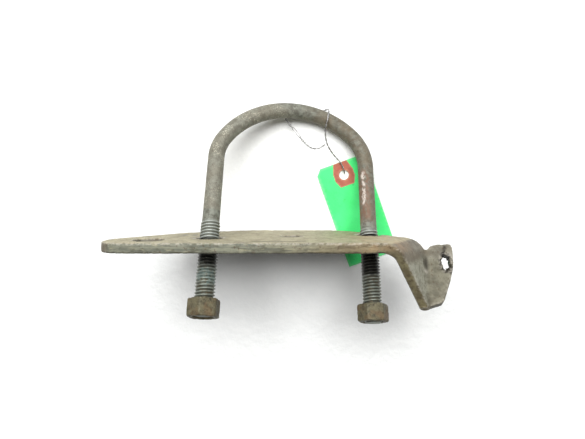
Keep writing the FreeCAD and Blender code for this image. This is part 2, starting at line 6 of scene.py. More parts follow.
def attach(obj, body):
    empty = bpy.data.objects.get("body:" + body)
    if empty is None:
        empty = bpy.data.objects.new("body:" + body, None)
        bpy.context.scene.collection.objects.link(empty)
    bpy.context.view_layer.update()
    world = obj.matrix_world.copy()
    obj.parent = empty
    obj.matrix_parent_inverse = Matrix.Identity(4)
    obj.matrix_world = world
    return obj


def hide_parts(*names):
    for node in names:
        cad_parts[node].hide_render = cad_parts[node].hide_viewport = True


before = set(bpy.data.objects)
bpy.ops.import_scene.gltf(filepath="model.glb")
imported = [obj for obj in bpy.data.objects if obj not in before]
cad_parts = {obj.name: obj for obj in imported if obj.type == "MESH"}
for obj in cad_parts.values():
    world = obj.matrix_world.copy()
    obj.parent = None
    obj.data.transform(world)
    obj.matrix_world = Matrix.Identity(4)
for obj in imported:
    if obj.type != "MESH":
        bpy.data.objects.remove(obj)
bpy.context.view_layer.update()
MM = 0.001

# ------------------------------------------------------------- frame numbers
SHIFT = np.array([4.58, -19.38, 0.0])
LIFT = 44.3
al = np.array([0.01299, 0.91134, -0.41144]); al /= np.linalg.norm(al)
ac = np.array([0.98168, -0.08985, -0.168]); ac -= al * ac.dot(al); ac /= np.linalg.norm(ac)
fc = np.cross(ac, al)
HINGE = np.array([-0.2, 0.0, LIFT]) + SHIFT


GAIN = [1.0, 1.0, 1.0]


def gain(r=1.0, g=1.0, b=1.0):
    """Lightens or darkens the colours named after it"""
    GAIN[:] = [r, g, b]


def srgb(r, g, b):
    out = []
    for c, k in zip((r, g, b), GAIN):
        c = c / 255.0
        c = c / 12.92 if c <= 0.04045 else ((c + 0.055) / 1.055) ** 2.4
        out.append(min(0.97, c * k * 0.9))
    return (out[0], out[1], out[2], 1.0)


def new_mesh(name, verts, faces, smooth=True):
    me = bpy.data.meshes.new(name)
    me.from_pydata([tuple(v) for v in np.asarray(verts) * MM], [], faces)
    me.validate()
    if smooth:
        me.polygons.foreach_set("use_smooth", [True] * len(me.polygons))
    me.update()
    o = bpy.data.objects.new(name, me)
    bpy.context.scene.collection.objects.link(o)
    return o


def attr(o, name, values):
    a = o.data.attributes.new(name, "FLOAT", "POINT")
    a.data.foreach_set("value", np.clip(np.asarray(values, dtype=np.float32), 0, 1))


def fbm(p, scale, octaves=4, seed=0.0):
    """Fractal noise at points in mm, roughly -1..1"""
    off = Vector((seed * 13.7, seed * 7.1, seed * 3.3))
    return np.array([noise.fractal(Vector(q) / scale + off, 1.0, 2.0, octaves) for q in p])


def smooth(x, a, b):
    t = np.clip((np.asarray(x, dtype=float) - a) / (b - a), 0, 1)
    return t * t * (3 - 2 * t)


def band(x, a, b, soft):
    return smooth(x, a - soft, a + soft) * (1 - smooth(x, b - soft, b + soft))


# ------------------------------------------------------------ material helper
class Mat:
    def __init__(self, name):
        self.m = bpy.data.materials.new(name)
        self.m.use_nodes = True
        self.nt = self.m.node_tree
        self.nt.nodes.clear()
        self.out = self.n("ShaderNodeOutputMaterial")
        self.bsdf = self.n("ShaderNodeBsdfPrincipled")
        self.nt.links.new(self.bsdf.outputs[0], self.out.inputs[0])
        self.tc = self.n("ShaderNodeTexCoord")

    def n(self, t):
        return self.nt.nodes.new(t)

    def link(self, a, b):
        if isinstance(a, (int, float)):
            b.default_value = a
        elif isinstance(a, tuple):
            b.default_value = a
        else:
            self.nt.links.new(a, b)

    def coords(self, stretch=(1, 1, 1), turn=(0, 0, 0)):
        mp = self.n("ShaderNodeMapping")
        mp.inputs["Scale"].default_value = stretch
        mp.inputs["Rotation"].default_value = turn
        self.nt.links.new(self.tc.outputs["Object"], mp.inputs["Vector"])
        return mp.outputs[0]

    def noise(self, size, detail=4, rough=0.55, lo=0.35, hi=0.65, stretch=(1, 1, 1), turn=(0, 0, 0), dist=0.0):
        """size in mm; mapped from lo..hi to 0..1"""
        t = self.n("ShaderNodeTexNoise")
        t.inputs["Scale"].default_value = 1.0 / (size * MM)
        t.inputs["Detail"].default_value = detail
        t.inputs["Roughness"].default_value = rough
        t.inputs["Distortion"].default_value = dist
        self.nt.links.new(self.coords(stretch, turn), t.inputs["Vector"])
        return self.ramp(t.outputs[0], lo, hi)

    def cells(self, size, lo=0.0, hi=1.0, stretch=(1, 1, 1)):
        t = self.n("ShaderNodeTexVoronoi")
        t.inputs["Scale"].default_value = 1.0 / (size * MM)
        self.nt.links.new(self.coords(stretch), t.inputs["Vector"])
        return self.ramp(t.outputs["Distance"], lo, hi)

    def ramp(self, x, lo, hi, a=0.0, b=1.0):
        r = self.n("ShaderNodeMapRange")
        r.interpolation_type = "SMOOTHSTEP"
        self.link(x, r.inputs[0])
        for k, v in ((1, lo), (2, hi), (3, a), (4, b)):
            r.inputs[k].default_value = v
        return r.outputs[0]

    def attr(self, name):
        a = self.n("ShaderNodeAttribute")
        a.attribute_name = name
        return a.outputs["Fac"]

    def math(self, op, a, b=0.0, clamp=True):
        m = self.n("ShaderNodeMath")
        m.operation = op
        m.use_clamp = clamp
        self.link(a, m.inputs[0])
        self.link(b, m.inputs[1])
        return m.outputs[0]

    def mul(self, *xs):
        r = xs[0]
        for x in xs[1:]:
            r = self.math("MULTIPLY", r, x)
        return r

    def mix(self, f, a, b):
        m = self.n("ShaderNodeMix")
        m.data_type = "RGBA"
        self.link(f, m.inputs[0])
        self.link(a, m.inputs[6])
        self.link(b, m.inputs[7])
        return m.outputs[2]

    def mixf(self, f, a, b):
        m = self.n("ShaderNodeMix")
        m.data_type = "FLOAT"
        self.link(f, m.inputs[0])
        self.link(a, m.inputs[2])
        self.link(b, m.inputs[3])
        return m.outputs[0]

    def finish(self, colour, rough, metal=0.0, height=None, strength=0.5, dist=0.0003, spec=0.4):
        self.link(colour, self.bsdf.inputs["Base Color"])
        self.link(rough, self.bsdf.inputs["Roughness"])
        self.link(metal, self.bsdf.inputs["Metallic"])
        self.bsdf.inputs["Specular IOR Level"].default_value = spec
        if height is not None:
            b = self.n("ShaderNodeBump")
            b.inputs["Strength"].default_value = strength
            b.inputs["Distance"].default_value = dist
            self.nt.links.new(height, b.inputs["Height"])
            self.nt.links.new(b.outputs[0], self.bsdf.inputs["Normal"])
        return self.m


# ------------------------------------------------------------------ materials
G_PLATE = (1.0, 1.0, 1.0)
G_FACE = (0.86, 0.85, 0.68)
G_TOP = (0.90, 0.88, 0.70)
G_EAR = (1.36, 1.44, 1.52)
G_STRIP = (1.10, 1.14, 1.0)
G_ROD = (1.0, 1.20, 1.30)
G_THREAD = (0.95, 1.08, 1.15)
G_NUT = (0.72, 0.85, 0.80)
G_CARD = (0.80, 0.97, 0.86)
G_PATCH = (1.1, 1.15, 1.2)


def plate_material():
    k = Mat("plate_worn_steel")
    broad = k.noise(22, 3, 0.5, 0.4, 0.62)
    mid = k.noise(5, 5, 0.6, 0.38, 0.64)
    fine = k.noise(1.1, 4, 0.6, 0.35, 0.68)
    along_x = k.noise(1.4, 4, 0.6, 0.38, 0.66, stretch=(0.09, 1, 1))
    gain(*G_PLATE)
    c = k.mix(mid, srgb(96, 92, 80), srgb(124, 120, 106))
    c = k.mix(k.mul(broad, 0.6), c, srgb(110, 100, 82))
    # wide face: pale dry dust over the steel, and painted light: the face is painted lighter than the rolled edge, as
    # if lit from its side
    face = k.attr("front")
    gain(*G_FACE)
    pale_dust_and_painted_light = k.mix(mid, srgb(152, 145, 130), srgb(190, 182, 166))
    pale_dust_and_painted_light = k.mix(k.mul(fine, 0.35), pale_dust_and_painted_light, srgb(128, 118, 100))
    pale_dust_and_painted_light = k.mix(k.mul(along_x, 0.3), pale_dust_and_painted_light, srgb(205, 200, 190))
    c = k.mix(k.mul(face, 0.95), c, pale_dust_and_painted_light)
    # rolled upper edge: cool grey at the left, brownish at the right
    top = k.attr("top")
    gain(*G_TOP)
    cold = k.mix(along_x, srgb(104, 108, 106), srgb(140, 142, 136))
    warm = k.mix(along_x, srgb(104, 97, 81), srgb(140, 132, 115))
    edge_c = k.mix(k.attr("right"), cold, warm)
    edge_c = k.mix(k.mul(k.noise(2.2, 5, 0.65, 0.52, 0.62, stretch=(0.35, 1, 1)), 0.6), edge_c, srgb(82, 80, 70))
    edge_c = k.mix(k.mul(k.noise(1.5, 5, 0.65, 0.55, 0.66, stretch=(0.2, 1, 1)), 0.5), edge_c, srgb(176, 172, 156))
    c = k.mix(top, c, edge_c)
    # ear and tab
    ear = k.attr("ear")
    gain(*G_EAR)
    earc = k.mix(mid, srgb(104, 100, 84), srgb(138, 134, 116))
    earc = k.mix(k.mul(fine, 0.3), earc, srgb(96, 88, 72))
    earc = k.mix(k.mul(along_x, 0.35), earc, srgb(160, 156, 142))
    gain(0.80, 0.79, 0.77)
    lobe = k.mix(mid, srgb(94, 90, 74), srgb(122, 118, 100))
    earc = k.mix(k.mul(k.attr("lobe"), 0.85), earc, lobe)
    c = k.mix(ear, c, earc)
    gain()
    # painted shade: the upper crease between the tab and the ear darkened as its shade
    c = k.mix(k.mul(k.attr("valley_painted_shade"), 0.85), c, srgb(74, 72, 60))
    # the cut edge of the bent strip: brown, with a darker line along its corner
    gain(*G_STRIP)
    strip = k.attr("strip")
    stripc = k.mix(mid, srgb(98, 88, 68), srgb(122, 112, 88))
    stripc = k.mix(k.mul(k.noise(2.4, 4, 0.6, 0.5, 0.62), 0.5), stripc, srgb(70, 58, 44))
    c = k.mix(strip, c, stripc)
    gain()
    # rust
    rust = k.mul(k.attr("rust"), k.noise(6.0, 5, 0.6, 0.30, 0.62))
    gain()
    rustc = k.mix(fine, srgb(164, 122, 80), srgb(194, 154, 108))
    c = k.mix(k.mul(rust, 0.27), c, rustc)
    # scattered specks of rust and oil
    speck = k.noise(1.7, 3, 0.6, 0.60, 0.68)
    c = k.mix(k.mul(speck, 0.6), c, srgb(78, 58, 40))
    # oil and dirt, with painted shade in the ear's crease
    oil_and_painted_shade = k.mul(k.attr("oil_and_painted_shade"), k.ramp(mid, 0.0, 0.6, 0.55, 1.0))
    c = k.mix(oil_and_painted_shade, c, srgb(36, 31, 25))
    # bright worn edges
    worn = k.mul(k.attr("edge"), k.noise(1.5, 4, 0.6, 0.4, 0.6))
    c = k.mix(k.mul(worn, 0.7), c, srgb(176, 170, 156))
    # painted highlight: bright rims round the leg holes and a bright spot in the crease, made more metallic there
    painted_highlight = k.attr("painted_highlight")
    c = k.mix(k.mul(painted_highlight, 0.8), c, srgb(214, 208, 196))
    pits = k.cells(1.9, 0.05, 0.5)
    h = k.math("ADD", k.mul(mid, 0.5), k.mul(fine, 0.35))
    h = k.math("ADD", h, k.mul(pits, 0.3), clamp=False)
    r = k.mixf(worn, 0.66, 0.42)
    r = k.mixf(oil_and_painted_shade, r, 0.4)
    return k.finish(c, r, k.mixf(painted_highlight, 0.12, 0.4), h, 0.55, 0.00022)


def bolt_material():
    k = Mat("bolt_rusty_steel")
    gain(*G_ROD)
    broad = k.noise(16, 3, 0.5, 0.4, 0.6)
    mid = k.noise(3.0, 5, 0.62, 0.38, 0.62)
    fine = k.noise(0.8, 4, 0.6, 0.38, 0.66)
    c = k.mix(mid, srgb(92, 84, 72), srgb(128, 120, 106))
    c = k.mix(k.mul(broad, 0.5), c, srgb(112, 98, 80))
    # tan speckle, thicker on the left arch
    gain(1.0, 1.08, 1.12)
    tan = k.mul(k.attr("left_arch"), k.noise(0.8, 5, 0.65, 0.5, 0.64), k.noise(9, 3, 0.5, 0.42, 0.6))
    c = k.mix(k.mul(tan, 0.95), c, srgb(206, 196, 174))
    c = k.mix(k.mul(k.attr("left_arch"), 0.28), c, srgb(150, 138, 120))
    c = k.mix(k.mul(k.noise(0.7, 3, 0.6, 0.58, 0.68), 0.4), c, srgb(166, 156, 138))
    brown = k.mul(k.attr("right_arch"), k.noise(4.5, 4, 0.6, 0.3, 0.62))
    c = k.mix(k.mul(brown, 0.45), c, srgb(112, 90, 66))
    c = k.mix(k.mul(k.noise(1.3, 4, 0.6, 0.6, 0.7), 0.5), c, srgb(72, 60, 48))
    # threads: the roots painted darker than the crests, as painted shade in the thread roots
    th = k.attr("thread")
    gain(*G_THREAD)
    thc = k.mix(k.attr("root"), srgb(178, 174, 164), srgb(112, 106, 94))
    c = k.mix(th, c, thc)
    # dark oil on the threads next to the plate, partly painted shade standing in for the plate's shadow on them
    oil_and_painted_shade = k.attr("oil_and_painted_shade")
    oil_and_shade_colour = k.mix(k.attr("root"), srgb(60, 56, 47), srgb(15, 13, 10))
    c = k.mix(oil_and_painted_shade, c, oil_and_shade_colour)
    lowb = k.attr("brown")
    lowc = k.mix(k.attr("root"), srgb(150, 148, 134), srgb(64, 60, 50))
    lowc = k.mix(k.mul(k.noise(2.8, 4, 0.6, 0.45, 0.6), 0.5), lowc, srgb(112, 90, 62))
    c = k.mix(k.mul(lowb, 0.9), c, lowc)
    teal = k.mul(k.attr("teal"), k.noise(2.2, 4, 0.6, 0.4, 0.56))
    c = k.mix(k.mul(teal, 0.42), c, srgb(148, 164, 158))
    c = k.mix(k.mul(k.attr("teal"), k.noise(1.2, 3, 0.6, 0.58, 0.66), 0.55), c, srgb(206, 200, 178))
    gain()
    # paint run on the right leg
    red = k.mul(k.attr("red"), k.noise(1.5, 5, 0.65, 0.40, 0.52, stretch=(1, 0.3, 1)))
    c = k.mix(k.mul(red, 0.55), c, srgb(126, 86, 68))
    white = k.mul(k.attr("white"), k.noise(1.1, 4, 0.6, 0.42, 0.52, stretch=(1, 0.3, 1)))
    c = k.mix(k.mul(white, 0.92), c, srgb(214, 204, 194))
    pits = k.cells(1.2, 0.05, 0.5)
    h = k.math("ADD", k.mul(mid, 0.55), k.mul(fine, 0.4))
    h = k.math("ADD", h, k.mul(pits, 0.25), clamp=False)
    r = k.mixf(th, 0.62, 0.45)
    r = k.mixf(oil_and_painted_shade, r, 0.32)
    return k.finish(c, r, k.mixf(th, 0.2, 0.45), h, 0.6, 0.0002)


def nut_material():
    k = Mat("nut_rusty_steel")
    gain(*G_NUT)
    mid = k.noise(2.6, 5, 0.62, 0.36, 0.62)
    fine = k.noise(0.7, 4, 0.6, 0.38, 0.66)
    c = k.mix(mid, srgb(84, 70, 52), srgb(122, 106, 82))
    c = k.mix(k.mul(fine, 0.4), c, srgb(138, 122, 100))
    c = k.mix(k.mul(k.noise(1.5, 4, 0.6, 0.56, 0.66), 0.7), c, srgb(54, 42, 30))
    worn = k.mul(k.attr("edge"), k.noise(1.4, 4, 0.6, 0.36, 0.58))
    c = k.mix(k.mul(k.attr("edge"), k.noise(2.0, 4, 0.6, 0.42, 0.6), 0.6), c, srgb(78, 70, 54))
    c = k.mix(k.mul(worn, 0.22), c, srgb(164, 152, 134))
    c = k.mix(k.mul(k.noise(7, 3, 0.5, 0.5, 0.62), 0.35), c, srgb(126, 84, 52))
    h = k.math("ADD", k.mul(mid, 0.6), k.mul(fine, 0.4))
    h = k.math("ADD", h, k.mul(k.cells(1.1, 0.05, 0.5), 0.3), clamp=False)
    return k.finish(c, k.mixf(worn, 0.6, 0.42), 0.2, h, 0.7, 0.00025)


def card_material():
    k = Mat("tag_green_card")
    gain(*G_CARD)
    fibre = k.noise(0.5, 5, 0.7, 0.3, 0.7)
    fib2 = k.noise(1.0, 4, 0.6, 0.3, 0.7, stretch=(1, 0.15, 1), turn=(0, 0, math.radians(-19)))
    blotch = k.noise(14, 3, 0.5, 0.35, 0.65)
    c = k.mix(blotch, srgb(78, 244, 134), srgb(92, 252, 148))
    c = k.mix(k.mul(fibre, 0.25), c, srgb(122, 252, 168))
    c = k.mix(k.mul(k.noise(3.2, 4, 0.6, 0.62, 0.72), 0.35), c, srgb(70, 150, 84))
    c = k.mix(k.mul(k.attr("rim"), 0.5), c, srgb(170, 246, 186))
    h = k.math("ADD", k.mul(fibre, 0.5), k.mul(fib2, 0.5))
    return k.finish(c, k.ramp(blotch, 0, 1, 0.72, 0.84), 0.0, h, 0.25, 0.00008, spec=0.25)


def patch_material():
    k = Mat("tag_patch_fibre")
    gain(*G_PATCH)
    fibre = k.noise(0.4, 5, 0.7, 0.3, 0.7)
    blotch = k.noise(5, 3, 0.5, 0.35, 0.65)
    c = k.mix(blotch, srgb(158, 84, 66), srgb(174, 100, 80))
    c = k.mix(k.mul(fibre, 0.35), c, srgb(190, 126, 104))
    c = k.mix(k.mul(k.attr("rim"), 0.6), c, srgb(202, 152, 124))
    return k.finish(c, k.ramp(blotch, 0, 1, 0.75, 0.88), 0.0, fibre, 0.35, 0.00008, spec=0.25)


def wire_material():
    k = Mat("tag_bright_wire")
    dull = k.noise(3.0, 3, 0.5, 0.4, 0.65)
    fine = k.noise(0.4, 3, 0.6, 0.35, 0.7)
    gain()
    c = k.mix(dull, srgb(192, 191, 190), srgb(140, 137, 136))
    c = k.mix(k.mul(fine, 0.3), c, srgb(96, 90, 86))
    return k.finish(c, k.ramp(dull, 0, 1, 0.28, 0.45), 0.85, fine, 0.2, 0.00003)


def floor_material():
    k = Mat("floor_white")
    broad = k.noise(55, 3, 0.5, 0.3, 0.7)
    mid = k.noise(7, 5, 0.6, 0.35, 0.7)
    c = k.mix(broad, (0.90, 0.91, 0.90, 1), (0.94, 0.95, 0.94, 1))
    c = k.mix(k.mul(mid, 0.5), c, (0.95, 0.955, 0.94, 1))
    speck = k.noise(1.6, 2, 0.5, 0.73, 0.78)
    c = k.mix(k.mul(speck, 0.25), c, (0.6, 0.58, 0.52, 1))
    return k.finish(c, 0.8, 0.0, mid, 0.25, 0.0012, spec=0.2)


# ----------------------------------------------------------------- the U-bolt
R_SHANK, R_CREST, R_ROOT, PITCH = 9.93 / 2, 11.11 / 2, 4.55, 1.814
HALF, LEG_END = 95.5 / 2, 45.6
CX, CY, CR, RL, RR = 1.94, 37.05, 53.19, 27.63, 29.60
slx, srx = -HALF + RL, HALF - RR
sly = CY + math.sqrt((CR - RL) ** 2 - (slx - CX) ** 2)
sry = CY + math.sqrt((CR - RR) ** 2 - (srx - CX) ** 2)
ang_l = math.atan2(sly - CY, slx - CX)
ang_r = math.atan2(sry - CY, srx - CX)


def build_bolt():
    stations = []          # (a, b, tangent a, tangent b, top of thread or None)
    seg = 44
    fine_step, coarse = PITCH / 13, 0.8

    def leg(sign, far, top):
        bs = list(np.arange(-LEG_END, top + 1.2, fine_step))
        bs += list(np.arange(top + 1.2, far, coarse))
        rows = [(sign * HALF, b, 0.0, 1.0, top) for b in bs]
        return rows if sign < 0 else [(a, b, 0.0, -1.0, t) for a, b, _, _, t in rows[::-1]]

    def arc(cx, cy, r, a0, a1):
        n = max(8, int(abs(a1 - a0) * r / coarse))
        return [(cx + r * math.cos(t), cy + r * math.sin(t), math.sin(t), -math.cos(t), None)
                for t in np.linspace(a0, a1, n, endpoint=False)]

    stations += leg(-1, sly, 8.6)
    stations += arc(slx, sly, RL, math.pi, ang_l)
    stations += arc(CX, CY, CR, ang_l, ang_r)
    stations += arc(srx, sry, RR, ang_r, 0.0)
    stations += leg(1, sry, 11.0)
    st = np.array([s[:4] for s in stations])
    tops = np.array([np.nan if s[4] is None else s[4] for s in stations])
    n = len(st)
    cen = HINGE + np.outer(st[:, 0], ac) + np.outer(st[:, 1], al)
    tan = np.outer(st[:, 2], ac) + np.outer(st[:, 3], al)
    tan /= np.linalg.norm(tan, axis=1)[:, None]
    side = np.cross(tan, fc)                 # in the bolt's plane
    phi = np.linspace(0, 2 * math.pi, seg, endpoint=False)
    d = side[:, None, :] * np.cos(phi)[None, :, None] + fc[None, None, :] * np.sin(phi)[None, :, None]
    b = np.repeat(st[:, 1][:, None], seg, 1)
    top = np.repeat(tops[:, None], seg, 1)
    on_leg = ~np.isnan(top)
    top0 = np.where(on_leg, top, -999)
    theta = np.arctan2(-(d @ fc), d @ ac)
    phase = (b / PITCH - theta / (2 * math.pi)) % 1.0
    tri = np.abs(2 * phase - 1)
    prof = np.clip((tri - 0.14) / 0.70, 0, 1)
    prof = prof * prof * (3 - 2 * prof) * 0.35 + prof * 0.65
    inside = smooth((top0 - b) / PITCH, -0.15, 1.6) * on_leg
    flat_pts = (cen[:, None, :] + d * R_SHANK).reshape(-1, 3)
    n_big = fbm(flat_pts, 9.0, 3, 1.0).reshape(n, seg)
    n_mid = fbm(flat_pts, 2.6, 4, 2.0).reshape(n, seg)
    crest = R_CREST - 0.05 - 0.13 * np.clip(n_mid + 0.25, 0, 1)
    root = R_ROOT + 0.10 * np.clip(n_big, 0, 1)
    thread_r = root + (crest - root) * prof
    shank_r = R_SHANK - 0.02 + 0.05 * np.clip(n_big, -1, 1) - 0.07 * np.clip(n_mid - 0.1, 0, 1)
    r = shank_r + (thread_r - shank_r) * inside
    chamf = R_CREST - np.clip(-LEG_END + 1.5 - b, 0, 1.5) * 0.95
    r = np.where(on_leg, np.minimum(r, chamf), r)
    pts = cen[:, None, :] + d * r[:, :, None]
    verts = list(pts.reshape(-1, 3))
    faces = []
    for i in range(n - 1):
        o = i * seg
        for j in range(seg):
            j2 = (j + 1) % seg
            faces.append((o + j, o + seg + j, o + seg + j2, o + j2))
    # worn, slightly domed ends
    for end, i0 in ((0, 0), (1, n - 1)):
        sgn = 1 if end == 0 else -1
        prev = [i0 * seg + j for j in range(seg)]
        c = cen[i0]
        # "+ al" leads into the leg at both ends
        for f, dip in ((0.86, -0.12), (0.6, -0.05), (0.3, 0.05)):
            ring = []
            for j in range(seg):
                p = c + d[i0, j] * r[i0, j] * f + al * (dip + 0.05 * math.sin(3 * phi[j]))
                p = p + al * max(0.0, 0.14 + 0 * dip)
                ring.append(len(verts)); verts.append(p)
            for j in range(seg):
                j2 = (j + 1) % seg
                q = (prev[j], prev[j2], ring[j2], ring[j])
                faces.append(q if end == 0 else q[::-1])
            prev = ring
        k = len(verts); verts.append(c + al * 0.2)
        for j in range(seg):
            j2 = (j + 1) % seg
            q = (prev[j], prev[j2], k)
            faces.append(q if end == 0 else q[::-1])
    o = new_mesh("bolt_rod_threaded", verts, faces)
    extra = len(verts) - n * seg
    pad = lambda x, v=0.0: np.concatenate([np.asarray(x).reshape(-1), np.full(extra, v)])
    a_ = np.repeat(st[:, 0][:, None], seg, 1)
    left = (a_ < 0)
    # painted shade mask for the thread roots
    root_painted_shade = (1 - prof) * inside
    attr(o, "thread", pad(inside))
    attr(o, "root", pad(np.clip(root_painted_shade * 1.25 - 0.1, 0, 1)))
    wob = n_big * 3.0 + n_mid * 1.5
    y_in = np.repeat((cen[:, 1] - SHIFT[1])[:, None], seg, 1)
    under = on_leg & (y_in < 1.5)
    oil_and_shade_low = np.where(left, -18.5, -17.0)
    # oil band next to the plate, partly painted shade where the plate's shadow falls
    attr(o, "oil_and_painted_shade", pad(under * smooth(b + wob, oil_and_shade_low - 1.6, oil_and_shade_low + 1.6) * 0.95))
    attr(o, "brown", pad(under * (1 - smooth(b + wob, oil_and_shade_low - 2, oil_and_shade_low + 1.5)), 1.0))
    attr(o, "teal", pad(under * left * band(b + wob * 0.6, -29.0, -20.5, 1.5)))
    arch = ~on_leg | (b > 14)
    attr(o, "left_arch", pad(arch * smooth(-a_, -12, 22)))
    attr(o, "right_arch", pad(arch * smooth(a_, 0, 30)))
    # direction that faces the viewer's left of the right leg
    look = d @ np.array([-0.62, 0.0, 0.78])
    run = smooth(look, 0.35, 0.8) * (~left) * on_leg
    attr(o, "red", pad(run * band(b + wob, 15, 50, 2.5)))
    aim = np.array([-0.50, 0.0, 0.86])
    aim = aim - al * aim.dot(al)
    aim /= np.linalg.norm(aim)
    stripe = np.clip((d @ aim - 0.968 + 0.03 * n_mid) / 0.02, 0, 1) * (~left) * on_leg
    attr(o, "white", pad(stripe * np.clip(band(b + wob * 0.4, 26, 37, 1.2) + band(b + wob * 0.4, 39, 48, 1.0), 0, 1)))
    o.data.materials.append(bolt_material())
    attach(o, "bolt_body")
    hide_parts("u_bolt")
    return o


# -------------------------------------------- dense copies of the CAD's shapes
def dense_copy(node, name, voxel, rounds, factor=0.5):
    """A voxel-remeshed, softened copy of a CAD node, as arrays in mm."""
    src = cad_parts[node]
    me = src.data.copy()
    tmp = bpy.data.objects.new("tmp_" + name, me)
    tmp.matrix_world = Matrix.Identity(4)
    bpy.context.scene.collection.objects.link(tmp)
    world = np.array(src.matrix_world)
    co = np.empty(len(me.vertices) * 3)
    me.vertices.foreach_get("co", co)
    co = co.reshape(-1, 3) @ world[:3, :3].T + world[:3, 3]
    me.vertices.foreach_set("co", (co * 1000).reshape(-1))
    me.update()
    bm = bmesh.new()
    bm.from_mesh(me)
    bmesh.ops.remove_doubles(bm, verts=bm.verts, dist=1e-4)
    bm.to_mesh(me)
    bm.free()
    mod = tmp.modifiers.new("r", "REMESH")
    mod.mode = "VOXEL"
    mod.voxel_size = voxel
    mod.adaptivity = 0.0
    if rounds:
        sm = tmp.modifiers.new("s", "SMOOTH")
        sm.factor = factor
        sm.iterations = rounds
    bpy.context.view_layer.update()
    dg = bpy.context.evaluated_depsgraph_get()
    out = bpy.data.meshes.new_from_object(tmp.evaluated_get(dg))
    n = len(out.vertices)
    v = np.empty(n * 3); out.vertices.foreach_get("co", v); v = v.reshape(-1, 3)
    nr = np.empty(n * 3); out.vertex_normals.foreach_get("vector", nr); nr = nr.reshape(-1, 3)
    e = np.empty(len(out.edges) * 2, dtype=np.int64); out.edges.foreach_get("vertices", e); e = e.reshape(-1, 2)
    f = [tuple(p.vertices) for p in out.polygons]
    bpy.data.objects.remove(tmp)
    bpy.data.meshes.remove(out)
    return v, nr, e, f


def average(x, e, times=1):
    x = np.asarray(x, dtype=float)
    flat = x.ndim == 1
    if flat:
        x = x[:, None]
    deg = np.bincount(e.reshape(-1), minlength=len(x)).astype(float)[:, None]
    for _ in range(times):
        s = np.zeros_like(x)
        np.add.at(s, e[:, 0], x[e[:, 1]])
        np.add.at(s, e[:, 1], x[e[:, 0]])
        x = (x + s) / (deg + 1)
    return x[:, 0] if flat else x


def convexity(v, nr, e, times, scale):
    """1 on convex edges, 0 on flats"""
    away = ((v - average(v, e, times)) * nr).sum(1)
    return np.clip(away / scale, -1, 1)


